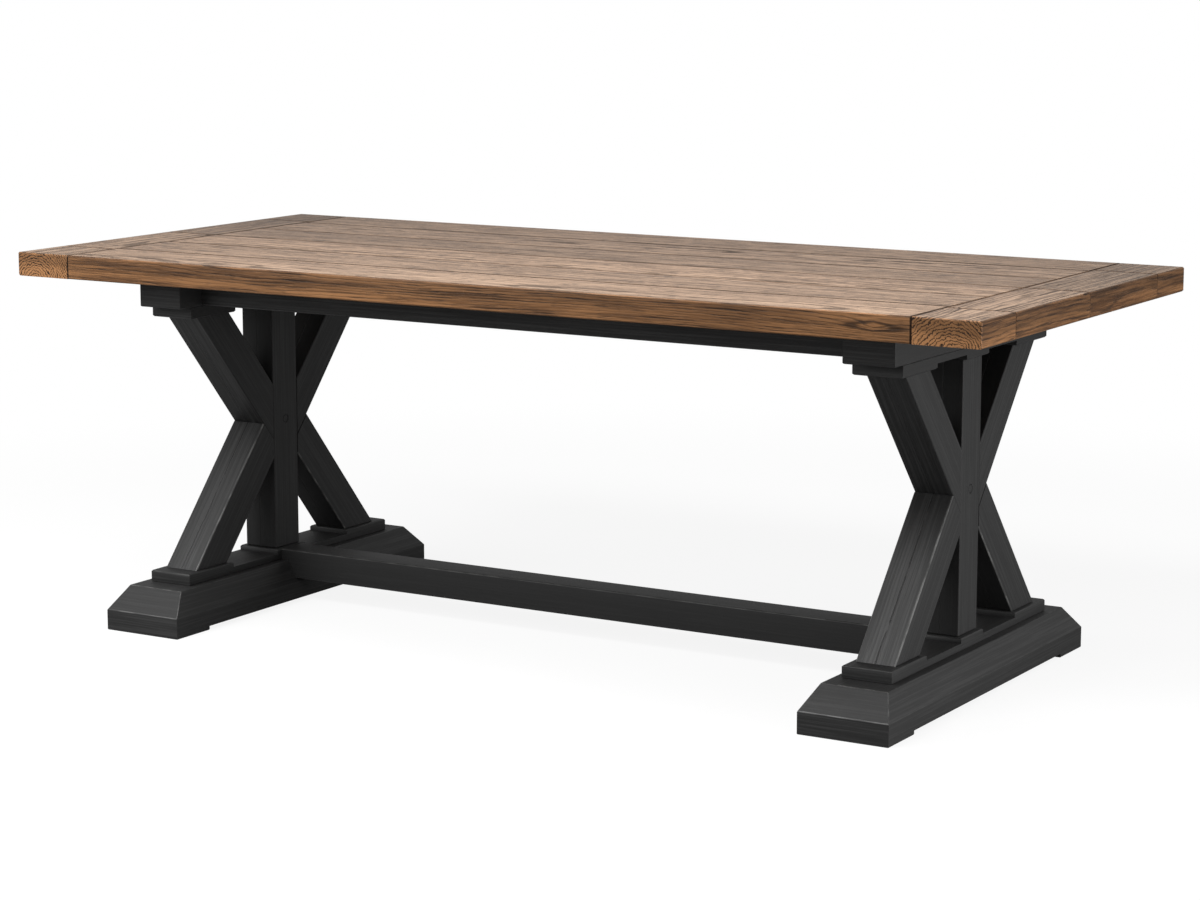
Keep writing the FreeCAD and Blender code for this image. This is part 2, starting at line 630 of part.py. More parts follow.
def make_legs(where, side, edge):
    """The lower half leg is scribed to the upper one, which runs straight to the post."""
    lower = [
        (LOWER_REACH, SOLE_TOP),
        ("Sizes.crossing_half_width", CROSSING),
        (HALF_POST, SCRIBE_HEIGHT),
        (HALF_POST, LOWER_FACE_FOOT),
        (LOWER_INNER, SOLE_TOP),
    ]
    upper = [
        (UPPER_REACH, CAP_BOTTOM),
        (UPPER_INNER, CAP_BOTTOM),
        (HALF_POST, UPPER_FACE_HEAD),
        (HALF_POST, SCRIBE_HEIGHT),
    ]
    make_leg(f"lower_leg_{where}", side, edge, lower, [LOWER_DOWEL_Z], LOWER_SCREW_Y, SOLE_TOP, up=True)
    make_leg(f"upper_leg_{where}", side, edge, upper, UPPER_DOWEL_Z, UPPER_SCREW_Y, CAP_BOTTOM, up=False)


def make_post(side_name, side):
    """An upright with a tenon at both ends, and a plugged cross bolt at the crossing."""
    body = new_piece(f"post_{side_name}")
    half_x = "(Sizes.post_thickness / 2)"
    shaft = new_sketch(body, "XY_Plane", SOLE_TOP)
    draw_rectangle(shaft, (f"-{half_x}", f"-{HALF_POST}"), (half_x, HALF_POST))
    pad(body, shaft, f"{CAP_BOTTOM} - {SOLE_TOP}")
    tenon_x = "(Sizes.post_tenon_thickness / 2)"
    tenon_y = "(Sizes.post_tenon_width / 2)"
    tenons = new_sketch(body, "XY_Plane", f"{SOLE_TOP} - Sizes.post_tenon_length")
    draw_rectangle(tenons, (f"-{tenon_x}", f"-{tenon_y}"), (tenon_x, tenon_y))
    pad(body, tenons, f"{CAP_BOTTOM} - {SOLE_TOP} + 2 * Sizes.post_tenon_length")

    dowels = [("0", z) for z in UPPER_DOWEL_Z + [LOWER_DOWEL_Z]]
    bore(body, "XZ_Plane", HALF_POST, dowels, DOWEL_HOLE, DOWEL_DEPTH)
    bore(body, "XZ_Plane", f"-{HALF_POST}", dowels, DOWEL_HOLE, DOWEL_DEPTH, reverse=True)
    bolt = [("0", CROSSING)]
    bore(body, "YZ_Plane", "0", bolt, BOLT_HOLE, symmetric=True)
    bore(body, "YZ_Plane", "Sizes.bolt_grip / 2", bolt, PLUG_HOLE, reverse=True)
    bore(body, "YZ_Plane", "-Sizes.bolt_grip / 2", bolt, PLUG_HOLE)

    def corner(first, second):
        return all(same(abs(p.x), half_x) and same(abs(p.y), HALF_POST) for p in (first, second))

    ease(body, corner, "Sizes.edge_ease")
    place_piece(body, x=f"{side} * {TRESTLE_X}", turned=side < 0)


def make_bearer(side_name, side):
    """The beam across the table that the top rests on."""
    body = new_piece(f"bearer_{side_name}")
    half_x = "(Sizes.bearer_width / 2)"
    plan = new_sketch(body, "XY_Plane", BEARER_BOTTOM)
    draw_rectangle(plan, (f"-{half_x}", f"-{BEARER_HALF}"), (half_x, BEARER_HALF))
    pad(body, plan, "Sizes.bearer_depth")
    into_bearer = "Sizes.post_tenon_length - Sizes.plate_thickness + Sizes.joint_clearance"
    cut_post_mortise(body, BEARER_BOTTOM, into_bearer, up=True)

    mortises = new_sketch(body, "YZ_Plane", f"Sizes.apron_tenon_length + Sizes.joint_clearance - {half_x}")
    low = f"{APRON_TENON_LOW} - Sizes.joint_clearance"
    high = f"{APRON_TENON_LOW} + Sizes.apron_tenon_depth + Sizes.joint_clearance"
    half_tenon = "(Sizes.apron_tenon_thickness / 2 + Sizes.joint_clearance)"
    for edge in EDGES.values():
        middle = f"{edge} * {APRON_MIDDLE}"
        draw_rectangle(mortises, (f"{middle} - {half_tenon}", low), (f"{middle} + {half_tenon}", high))
    cut(body, mortises)

    bore_lags(body, CAP_LAG_SEAT, BEARER_LAG_GRIP, both_ends(CAP_LAG_Y), up=False)
    top_lags = []
    for spread in (-0.5, 0.5):
        top_lags += both_ends(TOP_LAG_Y, f"{spread} * Sizes.lag_spread")
    bore_lags(body, TOP_LAG_SEAT, BEARER_LAG_GRIP, top_lags, up=True)

    def lower_rim(first, second):
        return all(same(p.z, BEARER_BOTTOM) for p in (first, second)) and (
            all(same(abs(p.x), half_x) for p in (first, second))
            or all(same(abs(p.y), BEARER_HALF) for p in (first, second)))

    ease(body, lower_rim, "Sizes.edge_ease")
    place_piece(body, x=f"{side} * {TRESTLE_X}", turned=side < 0)


def make_trestle(side_name, side):
    make_foot(side_name, side)
    make_sole_plate(side_name, side)
    make_post(side_name, side)
    for edge_name, edge in EDGES.items():
        make_legs(f"{edge_name}_{side_name}", side, edge)
    make_cap_plate(side_name, side)
    make_bearer(side_name, side)


# Aprons and stretcher

def make_apron(edge_name, edge):
    """A long rail between the bearers, with a tenon at both ends."""
    body = new_piece(f"apron_{edge_name}")
    length = f"(2 * {TRESTLE_X} - Sizes.bearer_width)"
    half_y = "(Sizes.apron_thickness / 2)"
    bottom = f"{UNDER_TOP} - Sizes.apron_depth"
    section = new_sketch(body, "YZ_Plane")
    draw_rectangle(section, (f"-{half_y}", bottom), (half_y, UNDER_TOP))
    pad(body, section, length, symmetric=True)
    half_tenon = "(Sizes.apron_tenon_thickness / 2)"
    tenons = new_sketch(body, "YZ_Plane")
    tenon_high = f"{APRON_TENON_LOW} + Sizes.apron_tenon_depth"
    draw_rectangle(tenons, (f"-{half_tenon}", APRON_TENON_LOW), (half_tenon, tenon_high))
    pad(body, tenons, f"{length} + 2 * Sizes.apron_tenon_length", symmetric=True)

    def lower_edge(first, second):
        return all(same(p.z, bottom) and same(abs(p.y), half_y) for p in (first, second))

    ease(body, lower_edge, "Sizes.edge_ease")
    place_piece(body, y=f"{edge} * {APRON_MIDDLE}")


def make_stretcher():
    """The low beam between the trestles, coped over the feet and the sole plates."""
    body = new_piece("stretcher")
    slope = "(Sizes.foot_side_slope / (Sizes.foot_height - Sizes.foot_side_height))"
    foot_side = f"({TRESTLE_X} - Sizes.foot_width / 2)"
    foot_at_bottom = f"({foot_side} + ({STRETCHER_BOTTOM} - Sizes.foot_side_height) * {slope})"
    sole_side = f"({TRESTLE_X} - Sizes.plate_width / 2)"
    end = [
        (foot_at_bottom, STRETCHER_BOTTOM),
        (f"{foot_side} + Sizes.foot_side_slope", "Sizes.foot_height"),
        (sole_side, "Sizes.foot_height"),
        (sole_side, SOLE_TOP),
    ]
    outline = new_sketch(body, "XZ_Plane")
    draw_outline(outline, end + flip(end, -1)[::-1])
    pad(body, outline, "Sizes.stretcher_width", symmetric=True)

    tenon_end = f"({TRESTLE_X} - Sizes.stretcher_tenon_end)"
    tenon = new_sketch(body, "XZ_Plane")
    draw_rectangle(tenon, (f"-{tenon_end}", STRETCHER_TENON_LOW), (tenon_end, STRETCHER_TENON_HIGH))
    pad(body, tenon, "Sizes.stretcher_tenon_width", symmetric=True)
    lags = [(f"{side} * ({TRESTLE_X} + {STRETCHER_LAG_X})", "0") for side in SIDES.values()]
    bore(body, "XY_Plane", STRETCHER_TENON_LOW, lags, LAG_HOLE, LAG_DEPTH, reverse=True)

    def long_edge(first, second):
        on_side = all(same(abs(p.y), "Sizes.stretcher_width / 2") for p in (first, second))
        level = abs(first.z - second.z) < NEAR and abs(first.x - second.x) > number("Sizes.foot_width")
        return on_side and level

    ease(body, long_edge, "Sizes.edge_ease")
    place_piece(body)


# Fasteners, each kind one group of like solids

def make_group(label, shape, placements):
    """Copies of one fastener, each at its own placement."""
    copies = []
    for placement in placements:
        copy = shape.copy()
        copy.Placement = placement
        copies.append(copy)
    group = doc.addObject("Part::Feature", label)
    group.Label = label
    group.Shape = Part.makeCompound(copies)
    pieces.append(group)


def aim(x, y, z, direction):
    """A placement that points a fastener's own +Z along the direction."""
    base = FreeCAD.Vector(number(x), number(y), number(z))
    turn = FreeCAD.Rotation(FreeCAD.Vector(0, 0, 1), FreeCAD.Vector(*direction))
    return FreeCAD.Placement(base, turn)


def hexagon(width, height):
    """A hexagonal prism on the level plane, the width across its flats."""
    corner = FreeCAD.Vector(width / 3 ** 0.5, 0, 0)
    turn = [FreeCAD.Rotation(FreeCAD.Vector(0, 0, 1), 60 * step) for step in range(7)]
    rim = Part.makePolygon([rotation.multVec(corner) for rotation in turn])
    return Part.Face(rim).extrude(FreeCAD.Vector(0, 0, height))


def dowel_shape():
    """A dowel along +Z with its middle at the origin."""
    length = number("Sizes.dowel_length")
    return Part.makeCylinder(number("Sizes.dowel_diameter") / 2, length, FreeCAD.Vector(0, 0, -length / 2))


def screw_shape():
    """A countersunk wood screw along +Z, its head's face at the origin."""
    radius = number("Sizes.screw_diameter") / 2
    head = number("Sizes.screw_head_height")
    cone = Part.makeCone(number("Sizes.screw_head_diameter") / 2, radius, head)
    shank = Part.makeCylinder(radius, number("Sizes.screw_length") - head, FreeCAD.Vector(0, 0, head))
    return cone.fuse(shank).removeSplitter()


def lag_shape(grip):
    """A hex lag screw along +Z, the underside of its head at the origin."""
    height = number("Sizes.lag_head_height")
    head = hexagon(number("Sizes.lag_head_width"), height)
    head.translate(FreeCAD.Vector(0, 0, -height))
    shank = Part.makeCylinder(number("Sizes.lag_diameter") / 2, number(f"{grip} + Sizes.lag_hold"))
    return head.fuse(shank).removeSplitter()


def bolt_shape():
    """A hex bolt along +Z, its middle at the origin, long enough for its nut."""
    grip = number("Sizes.bolt_grip")
    height = number("Sizes.bolt_head_height")
    head = hexagon(number("Sizes.lag_head_width"), height)
    head.translate(FreeCAD.Vector(0, 0, -grip / 2 - height))
    start = FreeCAD.Vector(0, 0, -grip / 2)
    shank = Part.makeCylinder(number("Sizes.bolt_diameter") / 2, grip + height, start)
    return head.fuse(shank).removeSplitter()


def nut_shape():
    """A hex nut along +Z from the origin, clear of the bolt's thread."""
    height = number("Sizes.bolt_head_height")
    hole = Part.makeCylinder(number(BOLT_HOLE) / 2, height)
    return hexagon(number("Sizes.lag_head_width"), height).cut(hole)


def plug_shape():
    """A wood plug along +Z, its inner end at the origin."""
    return Part.makeCylinder(number("Sizes.plug_diameter") / 2, number("Sizes.plug_length"))


def make_fasteners():
    end_dowels, leg_dowels, leg_screws = [], [], []
    foot_lags, bearer_lags, stretcher_lags = [], [], []
    bolts, nuts, plugs = [], [], []
    for side in SIDES.values():
        trestle = f"{side} * {TRESTLE_X}"
        for x in END_DOWEL_X:
            for y in ("0", BLOCK_START, f"-{BLOCK_START}"):
                end_dowels.append(aim(f"{side} * {x}", y, TOP_MIDDLE, (0, 1, 0)))
        for edge in EDGES.values():
            for z in UPPER_DOWEL_Z + [LOWER_DOWEL_Z]:
                leg_dowels.append(aim(trestle, f"{edge} * {HALF_POST}", z, (0, 1, 0)))
            leg_screws.append(aim(trestle, f"{edge} * {LOWER_SCREW_Y}", "Sizes.foot_height", (0, 0, 1)))
            leg_screws.append(aim(trestle, f"{edge} * {UPPER_SCREW_Y}", BEARER_BOTTOM, (0, 0, -1)))
            foot_lags.append(aim(trestle, f"{edge} * {SOLE_LAG_Y}", FOOT_LAG_SEAT, (0, 0, 1)))
            bearer_lags.append(aim(trestle, f"{edge} * {CAP_LAG_Y}", CAP_LAG_SEAT, (0, 0, -1)))
        tenon_x = f"{side} * ({TRESTLE_X} + {STRETCHER_LAG_X})"
        stretcher_lags.append(aim(tenon_x, "0", FOOT_LAG_SEAT, (0, 0, 1)))
        bolts.append(aim(trestle, "0", CROSSING, (side, 0, 0)))
        nut_seat = f"{trestle} + {side} * Sizes.bolt_grip / 2"
        nuts.append(aim(nut_seat, "0", CROSSING, (side, 0, 0)))
        for outward in SIDES.values():
            depth = f"{outward} * (Sizes.post_thickness / 2 - Sizes.plug_length)"
            plugs.append(aim(f"{trestle} + {depth}", "0", CROSSING, (outward, 0, 0)))
    top_lags = [aim(x, y, TOP_LAG_SEAT, (0, 0, 1)) for x, y in top_lag_places()]

    make_group("end_board_dowels", dowel_shape(), end_dowels)
    make_group("leg_dowels", dowel_shape(), leg_dowels)
    make_group("leg_screws", screw_shape(), leg_screws)
    make_group("foot_lag_screws", lag_shape(FOOT_LAG_GRIP), foot_lags)
    make_group("bearer_lag_screws", lag_shape(BEARER_LAG_GRIP), bearer_lags)
    make_group("top_lag_screws", lag_shape(BEARER_LAG_GRIP), top_lags)
    make_group("stretcher_lag_screws", lag_shape(STRETCHER_LAG_GRIP), stretcher_lags)
    make_group("post_cross_bolts", bolt_shape(), bolts)
    make_group("post_bolt_nuts", nut_shape(), nuts)
    make_group("post_plugs", plug_shape(), plugs)


# Checks before anything is written

def check_document():
    for item in doc.Objects:
        if "Invalid" in item.State or "Error" in item.State:
            raise RuntimeError(f"{item.Label} failed: {item.State}")
        if item.TypeId == "PartDesign::Pocket":
            removed = item.BaseFeature.Shape.Volume - item.Shape.Volume
            if removed < NEAR:
                raise RuntimeError(f"{item.Label} cuts nothing")
    for piece in pieces:
        if piece.Shape.isNull() or not piece.Shape.isValid():
            raise RuntimeError(f"{piece.Label} has no valid shape")
        if piece.TypeId == "PartDesign::Body" and len(piece.Shape.Solids) != 1:
            raise RuntimeError(f"{piece.Label} is not one solid")


def write_pieces():
    os.makedirs("parts", exist_ok=True)
    for piece in pieces:
        piece.Shape.exportStep(f"parts/{piece.Label}.step")


make_table_top()
for name, sign in SIDES.items():
    make_trestle(name, sign)
for name, sign in EDGES.items():
    make_apron(name, sign)
make_stretcher()
doc.recompute()
make_fasteners()
doc.recompute()
check_document()
write_pieces()
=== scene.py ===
import math

import bmesh
import bpy
from bpy.props import FloatProperty, FloatVectorProperty, PointerProperty
from bpy.types import Operator, Panel, PropertyGroup
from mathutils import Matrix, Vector


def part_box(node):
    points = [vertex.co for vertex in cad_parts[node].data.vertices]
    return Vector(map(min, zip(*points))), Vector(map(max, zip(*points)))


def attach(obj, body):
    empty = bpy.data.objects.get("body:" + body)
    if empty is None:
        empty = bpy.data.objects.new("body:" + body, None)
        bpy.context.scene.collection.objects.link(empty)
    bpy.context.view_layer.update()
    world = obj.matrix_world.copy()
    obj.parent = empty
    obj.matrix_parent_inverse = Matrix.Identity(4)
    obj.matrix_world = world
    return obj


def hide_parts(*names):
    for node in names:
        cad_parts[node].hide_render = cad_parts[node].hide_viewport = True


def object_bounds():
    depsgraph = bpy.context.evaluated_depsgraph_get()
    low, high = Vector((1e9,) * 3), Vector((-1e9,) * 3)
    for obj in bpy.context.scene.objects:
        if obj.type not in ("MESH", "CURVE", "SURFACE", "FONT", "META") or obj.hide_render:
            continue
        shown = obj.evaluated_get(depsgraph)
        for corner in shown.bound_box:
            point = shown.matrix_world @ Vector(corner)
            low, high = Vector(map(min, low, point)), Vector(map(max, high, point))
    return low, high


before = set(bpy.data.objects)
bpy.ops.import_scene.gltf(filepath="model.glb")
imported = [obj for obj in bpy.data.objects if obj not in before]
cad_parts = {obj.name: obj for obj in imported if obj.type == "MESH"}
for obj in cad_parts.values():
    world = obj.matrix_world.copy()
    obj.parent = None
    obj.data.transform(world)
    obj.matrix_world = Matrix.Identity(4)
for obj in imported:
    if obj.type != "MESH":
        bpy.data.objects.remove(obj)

# Looks of a trestle dining table: a smoked oak plank top on black brushed trestles.
# Metres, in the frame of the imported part: +X along the table, the front at -Y, +Z up.

bl_info = {
    "name": "Trestle dining table",
    "version": (1, 0, 0),
    "blender": (4, 5, 0),
    "location": "View3D > Sidebar > Table",
    "description": "Dresses a packed trestle table in smoked oak and black brushed paint",
    "category": "Object",
}

CAD_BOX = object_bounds()

# CAD meshes: corners that are one, faces that lie in one plane, edges that are sharp
MERGE_DISTANCE = 1e-6
FLAT_ANGLE = math.radians(0.5)
SHARP_ANGLE = math.radians(20)
# Narrow faces that are long enough count as bevels
BEVEL_WIDTH = 0.0066
BEVEL_LENGTH = 0.03
# How far the sharp edges of painted pieces are eased, and from which length on
EASED_EDGE = 0.0014
EASED_LEG_EDGE = 0.0022
EASED_LENGTH = 2 * BEVEL_LENGTH

# Share of its normal from which a face is an end, slanted, sloping or facing up
END_FACE = 0.6
SLANT = 0.3
SLOPING = 0.68
UPWARD = 0.8
# Share of X in its grain from which a board lies along the table
ALONG_TABLE = 0.9

# Faces that look inwards or lie near the middle, and sides close under the top, are kept dark as painted
# shade
OUTWARD = 0.05
UNDER_TOP = 0.6
# How far the paint of a face is rubbed grey; the low values for the inside and under the top are painted
# shade
PAINTED_SHADE_INSIDE = 0.15
PAINTED_SHADE_UNDER_TOP = 0.1
RUBBED_SIDE = 0.5
RUBBED_SLOPE = 0.3
RUBBED_FRONT = 1.0

# A distance beyond every piece, for the joints and eyes that a piece doesn't have
FAR_AWAY = 10.0
# Eyes in the grain: place along a board, across it and through it, from its middle
EYES = {"plank_1": (0.865, -0.078, 0.002)}
# How quickly an eye and the lighter wood round it fade, in the same three directions
EYE_FADE = (19.0, 30.0, 110.0)
HALO_FADE = (3.5, 8.0, 20.0)
# How far an eye pushes the rings aside
EYE_BULGE = 0.022

# Multiples of these shares hardly repeat after the point, so that no two boards are alike
GOLDEN_SHARE = 0.618034
SILVER_SHARE = 0.414214
# The pith that the rings go round: how far it is from a board's middle, across and down
PITH_ACROSS = 0.18
PITH_DEPTH = (0.03, 0.09)
# Boards with a pith of their own: place along, across and through, from the middle
PITHS = {
    "plank_1": (0.0, -0.06, -0.07),
    "corner_block_right_front": (0.0, 0.015, -0.045),
    "corner_block_left_front": (0.0, -0.02, -0.04),
    "end_board_right_front": (0.0, 0.005, -0.035),
}
# Tones of the boards: the darkest, how far the lightest is above it, and boards that were stained darker
DARKEST_TONE = 0.82
TONE_RANGE = 0.36
DARK_BOARDS = {
    "plank_1": 0.8,
    "plank_6": 0.86,
    "end_board_left": 0.76,
    "corner_block_left": 0.68,
    "end_board_right": 0.78,
    "corner_block_right": 0.88,
}
# How far apart two boards can lie in the noise, in metres
OAK_SPREAD = (29.0, 13.0, 37.0)
PAINT_SPREAD = (31.0, 17.0, 23.0)

METAL_FASTENERS = ("screws", "bolts", "nuts")
FASTENERS = ("dowels", *METAL_FASTENERS)
ZINC_DULL = (0.5, 0.5, 0.49)
ZINC_BRIGHT = (0.66, 0.66, 0.64)
ZINC_RELIEF = 0.00005
BEECH_LIGHT = (0.56, 0.36, 0.2)
BEECH_DARK = (0.4, 0.23, 0.12)
BEECH_RELIEF = 0.0001

WHITE = (1.0, 1.0, 1.0, 1.0)
# Softboxes, all aimed at the middle of the table: place, width and height
SOFTBOXES = {
    "key": ((-0.9, -3.2, 3.8), 2.8, 1.2),
    "overhead": ((0.1, -0.55, 1.6), 3.2, 0.3),
    "front": ((-1.9, -2.5, 1.55), 1.6, 0.8),
    "right": ((3.6, 0.15, 0.42), 1.4, 0.7),
}
# The floor: half its size, its two tones, and its tone where it only throws light back
FLOOR_REACH = 60.0
FLOOR_DARK = (0.93, 0.93, 0.93)
FLOOR_LIGHT = (0.96, 0.96, 0.96)
FLOOR_BOUNCE = (0.3, 0.3, 0.3)
# Share of plain white in it near the table, and the distances between which it becomes white only
FLOOR_GLOW = 0.88
FLOOR_FADE = (1.6, 3.2)


# Settings

class OakSettings(PropertyGroup):
    light: FloatVectorProperty(
        name="Light wood", description="Colour of the dense wood between the rings",
        subtype="COLOR", size=3, default=(0.263, 0.127, 0.053))
    brown: FloatVectorProperty(
        name="Brown wood", description="Colour of the smoked streaks",
        subtype="COLOR", size=3, default=(0.095, 0.0435, 0.018))
    dark: FloatVectorProperty(
        name="Dark grain", description="Colour of the open pores and the joints",
        subtype="COLOR", size=3, default=(0.017, 0.009, 0.005))
    # painted sheen: how much lighter and greyer the top face is painted than the edges, in place of the
    # room's reflection in it
    rubbed_and_painted_light: FloatVectorProperty(
        name="Rubbed top", description="How much lighter and greyer the rubbed top face is than the edges",
        size=3, default=(1.19, 1.66, 2.68))
    ring_spacing: FloatProperty(
        name="Ring spacing", description="Distance between two growth rings",
        default=0.0056, unit="LENGTH")
    top_joint: FloatProperty(
        name="Joints on top", description="Width of the dirt beside a joint on the top face",
        default=0.0056, unit="LENGTH")
    edge_joint: FloatProperty(
        name="Joints on the edges", description="Width of the dirt beside a joint on the edges",
        default=0.002, unit="LENGTH")
    relief: FloatProperty(
        name="Relief", description="Depth that brushing has left in the grain",
        default=0.0005, unit="LENGTH")
    stain: FloatProperty(
        name="Stain", description="How much darker the upper part of the edges is", default=0.42)
    shine: FloatProperty(
        name="Shine", description="Strength of the reflections", default=0.15)


class PaintSettings(PropertyGroup):
    black: FloatVectorProperty(
        name="Black", description="Colour of the paint in the grain",
        subtype="COLOR", size=3, default=(0.006, 0.006, 0.006))
    grey: FloatVectorProperty(
        name="Rubbed grey", description="Colour where the brush has rubbed the paint thin",
        subtype="COLOR", size=3, default=(0.03, 0.03, 0.03))
    # edges are painted lighter, partly as wear and partly as a painted highlight
    worn_and_highlight: FloatVectorProperty(
        name="Worn edge", description="Colour of the edges",
        subtype="COLOR", size=3, default=(0.125, 0.125, 0.122))
    crack: FloatVectorProperty(
        name="Crack", description="Colour inside the open glue lines",
        subtype="COLOR", size=3, default=(0.002, 0.002, 0.002))
    seam_width: FloatProperty(
        name="Seam width", description="Half the width of an open glue line of legs and posts",
        default=0.0015, unit="LENGTH")
    seam_wander: FloatProperty(
        name="Seam wander", description="How far a glue line strays from side to side",
        default=0.011, unit="LENGTH")
    relief: FloatProperty(
        name="Relief", description="Depth of the brushed grain under the paint",
        default=0.0004, unit="LENGTH")
    shine: FloatProperty(
        name="Shine", description="Strength of the reflections", default=0.38)


class StageSettings(PropertyGroup):
    camera_place: FloatVectorProperty(
        name="Camera", description="Where the photograph was taken from",
        subtype="TRANSLATION", unit="LENGTH", size=3, default=(3.1228, -5.1459, 1.4321))
    camera_pitch: FloatProperty(
        name="Pitch", description="Angle that the camera looks down by",
        subtype="ANGLE", default=0.1716)
    camera_yaw: FloatProperty(
        name="Yaw", description="Angle that the camera is turned to the left by",
        subtype="ANGLE", default=0.5415)
    lens: FloatProperty(
        name="Lens", description="Focal length of the camera", unit="CAMERA", default=90.95)
    sky: FloatProperty(
        name="Room light", description="Brightness of the white room as a light", default=0.32)
    mirrored: FloatProperty(
        name="Mirrored room", description="Brightness of the white room in reflections", default=0.62)
    key_power: FloatProperty(
        name="Key light", description="Power of the high softbox at the front",
        unit="POWER", default=165.0)
    top_power: FloatProperty(
        name="Overhead light", description="Power of the softbox above the top",
        unit="POWER", default=36.0)
    front_power: FloatProperty(
        name="Front light", description="Power of the softbox at the front left",
        unit="POWER", default=34.0)
    right_power: FloatProperty(
        name="Right light", description="Power of the low softbox at the right end",
        unit="POWER", default=75.0)


# Shader sums

class Wire:
    """An output of a shader node that can be added, multiplied and so on."""

    def __init__(self, graph, socket):
        self.graph = graph
        self.socket = socket

    def apply(self, operation, *values):
        return self.graph.wire("ShaderNodeMath", 0, {"operation": operation}, dict(enumerate(values)))

    def __add__(self, other):
        return self.apply("ADD", self, other)

    def __radd__(self, other):
        return self.apply("ADD", other, self)

    def __sub__(self, other):
        return self.apply("SUBTRACT", self, other)

    def __rsub__(self, other):
        return self.apply("SUBTRACT", other, self)

    def __mul__(self, other):
        return self.apply("MULTIPLY", self, other)

    def __rmul__(self, other):
        return self.apply("MULTIPLY", other, self)

    def __truediv__(self, other):
        return self.apply("DIVIDE", self, other)

    def __rtruediv__(self, other):
        return self.apply("DIVIDE", other, self)

    def __abs__(self):
        return self.apply("ABSOLUTE", self)

    def root(self):
        return self.apply("SQRT", self)

    def floor(self):
        return self.apply("FLOOR", self)

    def fraction(self):
        return self.apply("FRACT", self)

    def least(self, other):
        return self.apply("MINIMUM", self, other)

    def rise(self, low, high):
        """0 below low, 1 above high and a smooth step between."""
        settings = {"interpolation_type": "SMOOTHSTEP"}
        sockets = {"Value": self, "From Min": low, "From Max": high}
        return self.graph.wire("ShaderNodeMapRange", "Result", settings, sockets)

    def fall(self, low, high):
        """1 below low, 0 above high and a smooth step between."""
        return 1.0 - self.rise(low, high)


class Graph:
    """The shader nodes of a material or of the world."""

    def __init__(self, owner):
        owner.use_nodes = True
        self.owner = owner
        self.tree = owner.node_tree
        self.tree.nodes.clear()

    def node(self, kind, settings=None, sockets=None):
        node = self.tree.nodes.new(kind)
        for key, value in (settings or {}).items():
            setattr(node, key, value)
        for key, value in (sockets or {}).items():
            if isinstance(value, Wire):
                self.tree.links.new(value.socket, node.inputs[key])
            else:
                node.inputs[key].default_value = value
        return node

    def wire(self, kind, output, settings=None, sockets=None):
        """An output of a new node."""
        return Wire(self, self.node(kind, settings, sockets).outputs[output])

    def attribute(self, name, output):
        return self.wire("ShaderNodeAttribute", output, {"attribute_name": name})

    def object_place(self):
        return self.wire("ShaderNodeTexCoord", "Object")

    def vector(self, operation, first, second):
        return self.wire("ShaderNodeVectorMath", "Vector", {"operation": operation}, {0: first, 1: second})

    def parts(self, vector):
        node = self.node("ShaderNodeSeparateXYZ", None, {"Vector": vector})
        return [Wire(self, output) for output in node.outputs]

    def noise(self, place, stretch, detail=2.0, roughness=0.5):
        """Noise from 0 to 1 with its own fineness per metre along each direction."""
        return self.wire("ShaderNodeTexNoise", 0, None, {
            "Vector": self.vector("MULTIPLY", place, stretch),
            "Scale": 1.0,
            "Detail": detail,
            "Roughness": roughness,
        })

    def chance(self, number):
        """Three numbers from 0 to 1 that are always the same for one number."""
        return self.wire("ShaderNodeTexWhiteNoise", "Color", {"noise_dimensions": "1D"}, {"W": number})

    def blend(self, share, first, second, mode="MIX"):
        settings = {"data_type": "RGBA", "blend_type": mode}
        return self.wire("ShaderNodeMix", 2, settings, {0: share, 6: first, 7: second})

    def grey(self, value):
        return self.wire("ShaderNodeCombineColor", 0, None, {0: value, 1: value, 2: value})

    def mix_shaders(self, share, first, second):
        return self.wire("ShaderNodeMixShader", 0, None, {0: share, 1: first, 2: second})

    def surface(self, colour, roughness, height, depth, constants=None):
        """Ends the material in a Principled surface whose bumps are depth metres high."""
        bumps = {"Strength": 1.0, "Distance": depth, "Height": height}
        sockets = {
            "Base Color": colour,
            "Roughness": roughness,
            "Normal": self.wire("ShaderNodeBump", "Normal", None, bumps),
            **(constants or {}),
        }
        shader = self.wire("ShaderNodeBsdfPrincipled", 0, None, sockets)
        self.node("ShaderNodeOutputMaterial", None, {"Surface": shader})
        return self.owner


def opaque(colour):
    return (*colour, 1.0)


# Materials

def own_noise_place(graph, place, spread):
    """Places in the noise that differ from board to board."""
    luck = graph.chance(graph.attribute("board_number", "Fac"))
    return graph.vector("ADD", place, graph.vector("MULTIPLY", luck, spread))


def eye_closeness(graph, place, fade):
    """1 in the middle of the place where a branch was, and less the farther away."""
    offset = graph.vector("SUBTRACT", place, graph.attribute("eye_place", "Vector"))
    along, across, through = graph.parts(graph.vector("MULTIPLY", offset, fade))
    return 1.0 / (1.0 + abs(along) + across * across + through * through)


def early_wood(graph, place, waves, bulge, spacing, end_grain):
    """The dark early wood of the rings round the pith, in some rings darker than in others."""
    offset = graph.vector("SUBTRACT", place, graph.attribute("pith_place", "Vector"))
    _, beside, above = graph.parts(offset)
    radius = (beside * beside + above * above).root()
    count = (radius + waves + bulge) / spacing
    ring = count.fraction()
    ring_luck = graph.parts(graph.chance(count.floor()))[0]
    return ring.rise(0.0, 0.07) * ring.fall(0.16, 0.5) * (0.3 + ring_luck * 0.7 + end_grain * 0.3)


def joint_closeness(graph, place, width):
    """1 at the joints of a piece and 0 from some width on."""
    nearest = None
    for name, sign in (("joint_low", -1.0), ("joint_high", 1.0)):
        offset = graph.vector("SUBTRACT", graph.attribute(name, "Vector"), place)
        for distance in graph.parts(offset)[:2]:
            inward = distance * sign
            nearest = inward if nearest is None else nearest.least(inward)
    return (nearest / width).fall(0.3, 1.0)


